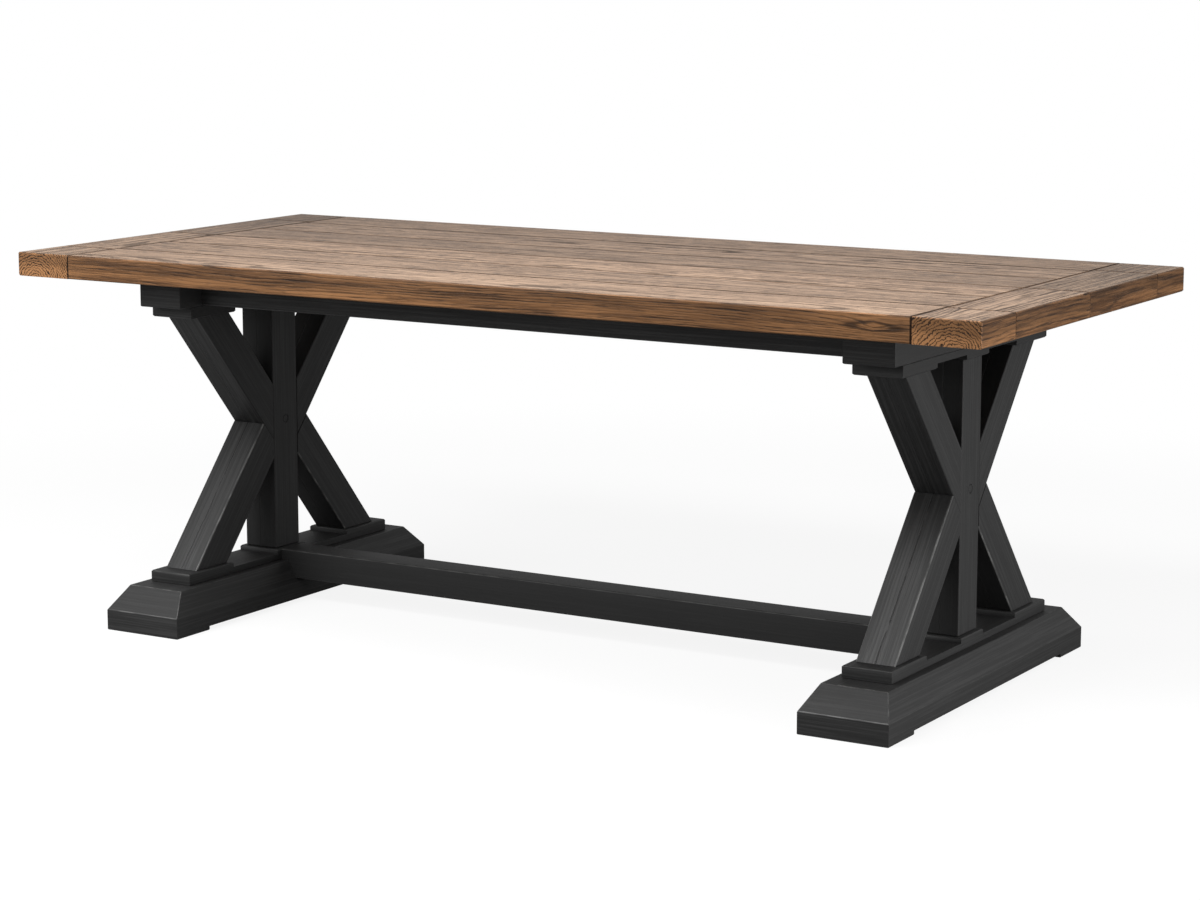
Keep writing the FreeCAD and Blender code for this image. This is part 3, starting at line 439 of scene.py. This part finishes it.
def oak_material(look):
    """Smoked oak: growth rings round a pith, open pores along the grain, dark joints."""
    graph = Graph(bpy.data.materials.new("smoked_oak"))
    light = opaque(look.light)
    brown = opaque(look.brown)
    dark = opaque(look.dark)
    place = graph.attribute("grain_place", "Vector")
    wood = own_noise_place(graph, place, OAK_SPREAD)
    through = graph.parts(place)[2]
    upward = graph.attribute("faces_up", "Fac")
    end_grain = graph.attribute("end_grain", "Fac")
    long_grain = 1.0 - end_grain * 0.8

    # the rings sway slowly, ripple quickly and bend round the eye
    sway = graph.noise(wood, (1.2, 5.0, 5.0)) - 0.5
    ripple = graph.noise(wood, (9.0, 70.0, 70.0), detail=4.0, roughness=0.65) - 0.5
    waves = sway * 0.06 + ripple * (0.008 + end_grain * 0.01)
    eye = eye_closeness(graph, place, EYE_FADE)
    halo = eye_closeness(graph, place, HALO_FADE)
    early = early_wood(graph, place, waves, eye * EYE_BULGE, look.ring_spacing, end_grain)
    wavy_eye = eye + ripple * 0.4
    rim = wavy_eye.rise(0.4, 0.52) * wavy_eye.fall(0.58, 0.72)

    # streaks, short flecks and pores lie along the grain and hardly show on its ends
    streak = graph.noise(wood, (4.0, 110.0, 110.0), detail=4.0, roughness=0.7)
    patch = graph.noise(wood, (1.8, 10.0, 10.0))
    coarse = graph.noise(wood, (36.0, 80.0, 80.0), detail=4.0, roughness=0.65)
    shadow = coarse.rise(0.57, 0.64) * long_grain
    painted_gleam = coarse.fall(0.36, 0.43) * long_grain
    dash = graph.noise(wood, (9.0, 240.0, 240.0), detail=3.0, roughness=0.65)
    fleck = dash.fall(0.36, 0.45) * long_grain
    pores = (dash + (1.0 - upward) * 0.02).rise(0.55, 0.6) * (0.4 + early * 0.6) * long_grain

    colour = graph.blend(streak.rise(0.38, 0.62) * long_grain, light, brown)
    colour = graph.blend(patch.rise(0.42, 0.72) * 0.4, colour, brown)
    colour = graph.blend(halo * 0.6, colour, light)
    # light flecks on the top face are painted sheen on the raised grain
    colour = graph.blend(fleck * 0.5 + painted_gleam * upward * 0.8, colour, light)
    colour = graph.blend(shadow * (0.15 + upward * 0.4), colour, dark)
    # painted sheen: the top face is painted lighter and greyer, in place of the room's reflection in it
    rubbed_and_painted_light = graph.blend(1.0, colour, opaque(look.rubbed_and_painted_light), "MULTIPLY")
    colour = graph.blend(upward, colour, rubbed_and_painted_light)
    colour = graph.blend(early * (0.6 + end_grain * 0.4 + upward * 0.2), colour, dark)
    colour = graph.blend(pores * 0.9, colour, dark)
    colour = graph.blend(rim * 0.8, colour, dark)

    # boards differ in tone, and their sides are darker above than below, but not round an eye
    fine = graph.noise(wood, (7.0, 430.0, 430.0), detail=3.0, roughness=0.6)
    tone = graph.attribute("board_tone", "Fac")
    upper_part = (through + sway * 0.03).rise(-0.014, 0.004)
    stain = upper_part * (1.0 - upward) * (look.stain - halo * look.stain)
    shade = tone * (1.0 + (fine - 0.5) * 0.8 * long_grain + end_grain * 0.5 + halo * 0.2) * (1.0 - stain)
    colour = graph.blend(1.0, colour, graph.grey(shade), "MULTIPLY")

    # finish and dirt have gathered beside the joints
    joint_width = look.edge_joint + upward * (look.top_joint - look.edge_joint)
    joint = joint_closeness(graph, place, joint_width)
    colour = graph.blend(joint * 0.95, colour, dark)

    roughness = 0.44 + early * 0.12 + pores * 0.12 + joint * 0.4
    height = 1.0 - early * 0.5 - pores * 0.6 + streak * 0.3
    return graph.surface(colour, roughness, height, look.relief, {"Specular IOR Level": look.shine})


def paint_material(look):
    """Black paint rubbed into brushed grain, lighter along the edges from wear and painted highlight, kept
    dark as painted shade on inward faces and under the top, cracked along the glue lines.
    """
    graph = Graph(bpy.data.materials.new("black_paint"))
    place = graph.attribute("grain_place", "Vector")
    wood = own_noise_place(graph, place, PAINT_SPREAD)
    across = graph.parts(place)[1]

    brush = graph.noise(wood, (3.5, 230.0, 230.0), detail=4.0, roughness=0.66)
    scratch = graph.noise(wood, (9.0, 900.0, 900.0))
    cloud = graph.noise(wood, (4.0, 12.0, 12.0), detail=3.0)
    # little rubbing on inward faces and on sides under the top is painted shade
    reached_and_shaded = graph.attribute("rubbing_and_shade", "Fac")
    rubbed_and_painted_light = brush.rise(0.42, 0.64) * (0.3 + cloud * 0.7) * reached_and_shaded

    # the glue line wanders, and opens only here and there
    wander = (graph.noise(wood, (7.0, 1.0, 1.0), detail=3.0) - 0.5) * look.seam_wander
    open_here = graph.noise(wood, (9.0, 0.0, 0.0)).rise(0.38, 0.48)
    seam = abs(across + wander).fall(look.seam_width * 0.3, look.seam_width)
    crack = seam * open_here * graph.attribute("glue_line", "Fac")

    # lighter edges: partly wear, partly a painted highlight
    chips = graph.noise(wood, (26.0, 60.0, 60.0), detail=3.0).rise(0.36, 0.66)
    worn_and_highlight = graph.attribute("edge_wear_and_highlight", "Fac") * (0.25 + chips * 0.75)

    colour = graph.blend(rubbed_and_painted_light, opaque(look.black), opaque(look.grey))
    colour = graph.blend(worn_and_highlight * 0.8, colour, opaque(look.worn_and_highlight))
    colour = graph.blend(crack * 0.9, colour, opaque(look.crack))

    roughness = 0.66 - reached_and_shaded * 0.16 - rubbed_and_painted_light * 0.14 + scratch * 0.08 - worn_and_highlight * 0.2
    height = brush * 0.6 + scratch * 0.3 - crack * 2.0
    return graph.surface(colour, roughness, height, look.relief, {"Specular IOR Level": look.shine})


def zinc_material():
    """Bright zinc with a fine crystalline haze."""
    graph = Graph(bpy.data.materials.new("bright_zinc"))
    haze = graph.noise(graph.object_place(), (900.0, 900.0, 900.0), detail=3.0)
    colour = graph.blend(haze, opaque(ZINC_DULL), opaque(ZINC_BRIGHT))
    return graph.surface(colour, 0.3 + haze * 0.15, haze, ZINC_RELIEF, {"Metallic": 1.0})


def beech_material():
    """Plain beech with short flecks."""
    graph = Graph(bpy.data.materials.new("plain_beech"))
    fleck = graph.noise(graph.object_place(), (600.0, 60.0, 600.0), detail=3.0)
    colour = graph.blend(fleck.rise(0.35, 0.7), opaque(BEECH_LIGHT), opaque(BEECH_DARK))
    return graph.surface(colour, 0.55 + fleck * 0.1, fleck, BEECH_RELIEF)


def shared(name, make, *settings):
    """The material of that name, made when it is first asked for."""
    return bpy.data.materials.get(name) or make(*settings)


# Meshes

def is_bevel(face):
    longest = max(edge.calc_length() for edge in face.edges)
    width = face.calc_area() / longest
    return longest > BEVEL_LENGTH and width < BEVEL_WIDTH


def merged_copy(node):
    """A CAD node's mesh with its split corners merged and its flat faces joined."""
    bm = bmesh.new()
    bm.from_mesh(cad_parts[node].data)
    bmesh.ops.remove_doubles(bm, verts=bm.verts, dist=MERGE_DISTANCE)
    bmesh.ops.dissolve_limit(bm, angle_limit=FLAT_ANGLE, verts=bm.verts, edges=bm.edges)
    bmesh.ops.recalc_face_normals(bm, faces=bm.faces)
    return bm


def ease_edges(bm, offset, shortest=EASED_LENGTH):
    """Bevels the sharp outer edges from some length on that have no bevel yet."""
    sharp = []
    for edge in bm.edges:
        if len(edge.link_faces) != 2 or edge.calc_length() < shortest:
            continue
        plain = not any(is_bevel(face) for face in edge.link_faces)
        if plain and edge.calc_face_angle_signed() > SHARP_ANGLE:
            sharp.append(edge)
    bmesh.ops.bevel(
        bm, geom=sharp, offset=offset, offset_type="OFFSET", segments=1, profile=0.5,
        affect="EDGES", clamp_overlap=True, material=-1)


def shade_smooth(bm):
    """Shades bevels round along their long sides, and leaves the broad faces flat."""
    for edge in bm.edges:
        beside_bevel = sum(is_bevel(face) for face in edge.link_faces) == 1
        edge.smooth = beside_bevel and edge.calc_length() > BEVEL_LENGTH
    for face in bm.faces:
        face.smooth = True


def grain_axes(bm):
    """Directions along the grain, which runs along the longest edge, across it and through the board."""
    longest = max(bm.edges, key=lambda edge: edge.calc_length())
    along = (longest.verts[1].co - longest.verts[0].co).normalized()
    along *= 1 if along.x + along.y + along.z > 0 else -1
    across = Vector((0, 1, 0)) if abs(along.x) > ALONG_TABLE else Vector((1, 0, 0))
    through = along.cross(across)
    through *= 1 if through.z >= 0 else -1
    return along, across, through


def grain_places(bm, middle, axes, painted):
    """Places of all face corners in the grain, one after another; painted ends were brushed across."""
    along, across, through = axes
    places = []
    for face in bm.faces:
        brushed_across = painted and abs(face.normal.dot(along)) > END_FACE
        directions = (across, along, through) if brushed_across else axes
        for vertex in face.verts:
            places += [(vertex.co - middle).dot(direction) for direction in directions]
    return places


def joint_bounds(bm, middle, along, across):
    """Lowest and highest place of the largest face that has joints, far away where it has none."""
    largest = max(bm.faces, key=lambda face: face.calc_area())
    offsets = [vertex.co - middle for vertex in largest.verts]
    bounds = []
    for sign, pick, outer_corner in ((-1, min, CAD_BOX[0]), (1, max, CAD_BOX[1])):
        corner = []
        for axis in (along, across):
            reach = pick(offset.dot(axis) for offset in offsets)
            edge = (middle + axis * reach).dot(axis)
            jointed = abs(edge - outer_corner.dot(axis)) > 2 * BEVEL_WIDTH
            corner.append(reach if jointed else sign * FAR_AWAY)
        bounds.append((*corner, 0.0))
    return bounds


def rubbing_and_shade(face):
    """How far the paint is rubbed grey: most on the front and back, least in the corners, where inward
    faces and sides under the top are kept dark as painted shade.
    """
    centre = face.calc_center_median()
    if abs(face.normal.y) > SLANT and centre.y * face.normal.y < OUTWARD:
        return PAINTED_SHADE_INSIDE
    if abs(face.normal.x) > SLANT:
        return PAINTED_SHADE_UNDER_TOP if centre.z > UNDER_TOP else RUBBED_SIDE
    return RUBBED_SLOPE if face.normal.z > SLOPING else RUBBED_FRONT


def pith_place(node, number):
    """Where the pith of a board's tree was; no two boards are sawn alike."""
    if node in PITHS:
        return PITHS[node]
    aside = number * GOLDEN_SHARE % 1.0
    deep = number * SILVER_SHARE % 1.0
    nearest, farthest = PITH_DEPTH
    return 0.0, PITH_ACROSS * (2 * aside - 1), -nearest - (farthest - nearest) * deep


def board_tone(node, number):
    """How light a board is beside the others."""
    stains = [share for start, share in DARK_BOARDS.items() if node.startswith(start)]
    return (DARKEST_TONE + TONE_RANGE * (number * SILVER_SHARE % 1.0)) * min(stains, default=1.0)


def store(mesh, name, kind, domain, field, values):
    attribute = mesh.attributes.new(name, kind, domain)
    attribute.data.foreach_set(field, values)


# Pieces

def wood_piece(bm, node, material, glued=False, wear_and_highlight=0.0, end_wear_and_highlight=0.0, painted=False):
    """A CAD piece in wood, with all that its material asks for stored on its mesh.

    Bevels are marked as lighter edges, partly wear and partly painted highlight; those that point along
    the grain take the value for the ends.
    """
    axes = grain_axes(bm)
    along, across, _ = axes
    low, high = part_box(node)
    middle = (low + high) / 2
    number = sorted(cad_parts).index(node) + 1
    alongness = [abs(face.normal.dot(along)) for face in bm.faces]
    wears_and_highlights = [end_wear_and_highlight if value > SLANT else wear_and_highlight for value in alongness]
    faces = len(bm.faces)
    face_numbers = {
        "edge_wear_and_highlight": [value * is_bevel(face) for value, face in zip(wears_and_highlights, bm.faces)],
        "end_grain": [float(value > END_FACE) for value in alongness],
        "faces_up": [float(face.normal.z > UPWARD) for face in bm.faces],
        "rubbing_and_shade": [rubbing_and_shade(face) for face in bm.faces],
        "board_number": [float(number)] * faces,
        "board_tone": [board_tone(node, number)] * faces,
        "glue_line": [float(glued)] * faces,
    }
    joint_low, joint_high = joint_bounds(bm, middle, along, across)
    piece_places = {
        "pith_place": pith_place(node, number),
        "eye_place": EYES.get(node, (FAR_AWAY, 0.0, 0.0)),
        "joint_low": joint_low,
        "joint_high": joint_high,
    }
    places = grain_places(bm, middle, axes, painted)
    shade_smooth(bm)

    mesh = bpy.data.meshes.new(f"{node}_wood")
    bm.to_mesh(mesh)
    bm.free()
    store(mesh, "grain_place", "FLOAT_VECTOR", "CORNER", "vector", places)
    for name, numbers in face_numbers.items():
        store(mesh, name, "FLOAT", "FACE", "value", numbers)
    for name, place in piece_places.items():
        store(mesh, name, "FLOAT_VECTOR", "FACE", "vector", [*place] * faces)

    piece = bpy.data.objects.new(f"{node}_wood", mesh)
    bpy.context.scene.collection.objects.link(piece)
    normals = piece.modifiers.new("Rounded bevels", "WEIGHTED_NORMAL")
    normals.keep_sharp = True
    mesh.materials.append(material)
    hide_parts(node)
    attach(piece, "root")


def nodes_named(*starts):
    """Pieces of wood whose names begin so."""
    found = sorted(
        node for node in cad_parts
        if node.startswith(starts) and not node.endswith(FASTENERS))
    if not found:
        raise RuntimeError(f"the part has no piece named {starts}")
    return found


def oak_pieces(context, *starts):
    oak = shared("smoked_oak", oak_material, context.scene.table_oak)
    for node in nodes_named(*starts):
        wood_piece(merged_copy(node), node, oak)


def painted_pieces(context, *starts, wear_and_highlight, end_wear_and_highlight=0.0, eased=EASED_EDGE, glued=False):
    paint = shared("black_paint", paint_material, context.scene.table_paint)
    for node in nodes_named(*starts):
        bm = merged_copy(node)
        ease_edges(bm, eased)
        wood_piece(bm, node, paint, glued, wear_and_highlight, end_wear_and_highlight, painted=True)


# Operators, one for each kind of piece

class TABLE_OT_planks(Operator):
    """Oak planks along the table"""
    bl_idname = "table.planks"
    bl_label = "Planks"

    def execute(self, context):
        oak_pieces(context, "plank_")
        return {"FINISHED"}


class TABLE_OT_end_boards(Operator):
    """Oak boards across both ends of the planks"""
    bl_idname = "table.end_boards"
    bl_label = "End boards"

    def execute(self, context):
        oak_pieces(context, "end_board_")
        return {"FINISHED"}


class TABLE_OT_corner_blocks(Operator):
    """Oak blocks at the corners, with end grain on the long edges"""
    bl_idname = "table.corner_blocks"
    bl_label = "Corner blocks"

    def execute(self, context):
        oak_pieces(context, "corner_block_")
        return {"FINISHED"}


class TABLE_OT_feet(Operator):
    """Hipped feet of the trestles"""
    bl_idname = "table.feet"
    bl_label = "Feet"

    def execute(self, context):
        painted_pieces(context, "foot_", wear_and_highlight=0.1, end_wear_and_highlight=0.6)
        return {"FINISHED"}


class TABLE_OT_plates(Operator):
    """Sole and cap plates with raised pads"""
    bl_idname = "table.plates"
    bl_label = "Plates"

    def execute(self, context):
        painted_pieces(context, "sole_plate_", "cap_plate_", wear_and_highlight=0.1, end_wear_and_highlight=0.25)
        return {"FINISHED"}


class TABLE_OT_posts(Operator):
    """Upright posts, glued up from two boards"""
    bl_idname = "table.posts"
    bl_label = "Posts"

    def execute(self, context):
        painted_pieces(context, "post_left", "post_right", wear_and_highlight=0.0, glued=True)
        return {"FINISHED"}


class TABLE_OT_legs(Operator):
    """Leaning half legs, glued up from two boards"""
    bl_idname = "table.legs"
    bl_label = "Legs"

    def execute(self, context):
        # the lower legs' edges carry the painted highlight, the upper legs' none
        painted_pieces(context, "lower_leg_", wear_and_highlight=1.0, eased=EASED_LEG_EDGE, glued=True)
        painted_pieces(context, "upper_leg_", wear_and_highlight=0.0, glued=True)
        return {"FINISHED"}


class TABLE_OT_bearers(Operator):
    """Bearers across the table under its top"""
    bl_idname = "table.bearers"
    bl_label = "Bearers"

    def execute(self, context):
        painted_pieces(context, "bearer_", wear_and_highlight=0.2)
        return {"FINISHED"}


class TABLE_OT_aprons(Operator):
    """Aprons along both sides under the top"""
    bl_idname = "table.aprons"
    bl_label = "Aprons"

    def execute(self, context):
        painted_pieces(context, "apron_", wear_and_highlight=0.2)
        return {"FINISHED"}


class TABLE_OT_stretcher(Operator):
    """The low stretcher between the trestles"""
    bl_idname = "table.stretcher"
    bl_label = "Stretcher"

    def execute(self, context):
        painted_pieces(context, "stretcher", wear_and_highlight=0.35)
        return {"FINISHED"}


class TABLE_OT_plugs(Operator):
    """Plugs over the cross bolts of the posts"""
    bl_idname = "table.plugs"
    bl_label = "Plugs"

    def execute(self, context):
        paint = shared("black_paint", paint_material, context.scene.table_paint)
        bm = merged_copy("post_plugs")
        ease_edges(bm, EASED_EDGE, shortest=0.0)
        wood_piece(bm, "post_plugs", paint, painted=True)
        return {"FINISHED"}


class TABLE_OT_fasteners(Operator):
    """Screws, bolts, nuts and dowels inside the joints"""
    bl_idname = "table.fasteners"
    bl_label = "Fasteners"

    def execute(self, context):
        for node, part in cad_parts.items():
            if not node.endswith(FASTENERS):
                continue
            if node.endswith(METAL_FASTENERS):
                material = shared("bright_zinc", zinc_material)
            else:
                material = shared("plain_beech", beech_material)
            part.data.materials.clear()
            part.data.materials.append(material)
        return {"FINISHED"}


# Stage

def add_softbox(name, place, width, height, power):
    lamp = bpy.data.lights.new(name, "AREA")
    lamp.shape = "RECTANGLE"
    lamp.size = width
    lamp.size_y = height
    lamp.energy = power
    box = bpy.data.objects.new(name, lamp)
    bpy.context.scene.collection.objects.link(box)
    box.location = place
    middle = Vector((0.0, 0.0, CAD_BOX[1].z / 2))
    box.rotation_euler = (middle - box.location).to_track_quat("-Z", "Y").to_euler()


def floor_material():
    """Near white to the camera with soft shadows, and a quiet grey to everything else."""
    graph = Graph(bpy.data.materials.new("pale_floor"))
    place = graph.object_place()
    mottle = graph.noise(place, (3.0, 3.0, 3.0))
    tones = graph.blend(mottle, opaque(FLOOR_DARK), opaque(FLOOR_LIGHT))
    east, north, _ = graph.parts(place)
    far = (east * east + north * north).root().rise(*FLOOR_FADE)
    matt = graph.wire("ShaderNodeBsdfDiffuse", 0, None, {"Color": tones})
    glow = graph.wire("ShaderNodeEmission", 0, None, {"Color": WHITE, "Strength": 1.0})
    seen = graph.mix_shaders(FLOOR_GLOW + far * (1.0 - FLOOR_GLOW), matt, glow)
    bounce = graph.wire("ShaderNodeBsdfDiffuse", 0, None, {"Color": opaque(FLOOR_BOUNCE)})
    to_camera = graph.wire("ShaderNodeLightPath", "Is Camera Ray")
    both = graph.mix_shaders(to_camera, bounce, seen)
    graph.node("ShaderNodeOutputMaterial", None, {"Surface": both})
    return graph.owner


def add_floor():
    bm = bmesh.new()
    bmesh.ops.create_grid(bm, x_segments=1, y_segments=1, size=FLOOR_REACH)
    mesh = bpy.data.meshes.new("floor")
    bm.to_mesh(mesh)
    bm.free()
    floor = bpy.data.objects.new("floor", mesh)
    bpy.context.scene.collection.objects.link(floor)
    mesh.materials.append(floor_material())


def light_room(stage):
    """A white room: plain white to the camera, dimmer in reflections and as a light."""
    graph = Graph(bpy.data.worlds.new("white_room"))
    room = graph.wire("ShaderNodeBackground", 0, None, {"Color": WHITE, "Strength": stage.sky})
    for ray, strength in (("Is Glossy Ray", stage.mirrored), ("Is Camera Ray", 1.0)):
        seen = graph.wire("ShaderNodeBackground", 0, None, {"Color": WHITE, "Strength": strength})
        room = graph.mix_shaders(graph.wire("ShaderNodeLightPath", ray), room, seen)
    graph.node("ShaderNodeOutputWorld", None, {"Surface": room})
    bpy.context.scene.world = graph.owner


def add_camera(stage):
    camera = bpy.data.cameras.new("camera")
    camera.lens = stage.lens
    holder = bpy.data.objects.new("camera", camera)
    bpy.context.scene.collection.objects.link(holder)
    holder.location = stage.camera_place
    holder.rotation_euler = (math.pi / 2 - stage.camera_pitch, 0.0, stage.camera_yaw)
    bpy.context.scene.camera = holder


class TABLE_OT_stage(Operator):
    """White room, softboxes, floor and the photograph's camera"""
    bl_idname = "table.stage"
    bl_label = "Stage"

    def execute(self, context):
        stage = context.scene.table_stage
        add_floor()
        light_room(stage)
        powers = {
            "key": stage.key_power,
            "overhead": stage.top_power,
            "front": stage.front_power,
            "right": stage.right_power,
        }
        for name, power in powers.items():
            add_softbox(name, *SOFTBOXES[name], power)
        add_camera(stage)
        context.scene.view_settings.view_transform = "Standard"
        return {"FINISHED"}


# Panel and registration

class TABLE_PT_panel(Panel):
    """Settings and steps of the table"""
    bl_label = "Trestle table"
    bl_space_type = "VIEW_3D"
    bl_region_type = "UI"
    bl_category = "Table"

    def draw(self, context):
        scene = context.scene
        for settings in (scene.table_oak, scene.table_paint, scene.table_stage):
            box = self.layout.box()
            for name in settings.__annotations__:
                box.prop(settings, name)
        for step in STEPS:
            self.layout.operator(step.bl_idname)


STEPS = (
    TABLE_OT_planks,
    TABLE_OT_end_boards,
    TABLE_OT_corner_blocks,
    TABLE_OT_feet,
    TABLE_OT_plates,
    TABLE_OT_posts,
    TABLE_OT_legs,
    TABLE_OT_bearers,
    TABLE_OT_aprons,
    TABLE_OT_stretcher,
    TABLE_OT_plugs,
    TABLE_OT_fasteners,
    TABLE_OT_stage,
)
SETTINGS = (OakSettings, PaintSettings, StageSettings)


def register():
    for part in (*SETTINGS, *STEPS, TABLE_PT_panel):
        bpy.utils.register_class(part)
    bpy.types.Scene.table_oak = PointerProperty(type=OakSettings)
    bpy.types.Scene.table_paint = PointerProperty(type=PaintSettings)
    bpy.types.Scene.table_stage = PointerProperty(type=StageSettings)


def unregister():
    del bpy.types.Scene.table_stage
    del bpy.types.Scene.table_paint
    del bpy.types.Scene.table_oak
    for part in (TABLE_PT_panel, *STEPS[::-1], *SETTINGS[::-1]):
        bpy.utils.unregister_class(part)


def main():
    register()
    bpy.ops.table.planks()
    bpy.ops.table.end_boards()
    bpy.ops.table.corner_blocks()
    bpy.ops.table.feet()
    bpy.ops.table.plates()
    bpy.ops.table.posts()
    bpy.ops.table.legs()
    bpy.ops.table.bearers()
    bpy.ops.table.aprons()
    bpy.ops.table.stretcher()
    bpy.ops.table.plugs()
    bpy.ops.table.fasteners()
    bpy.ops.table.stage()


if __name__ == "__main__":
    main()
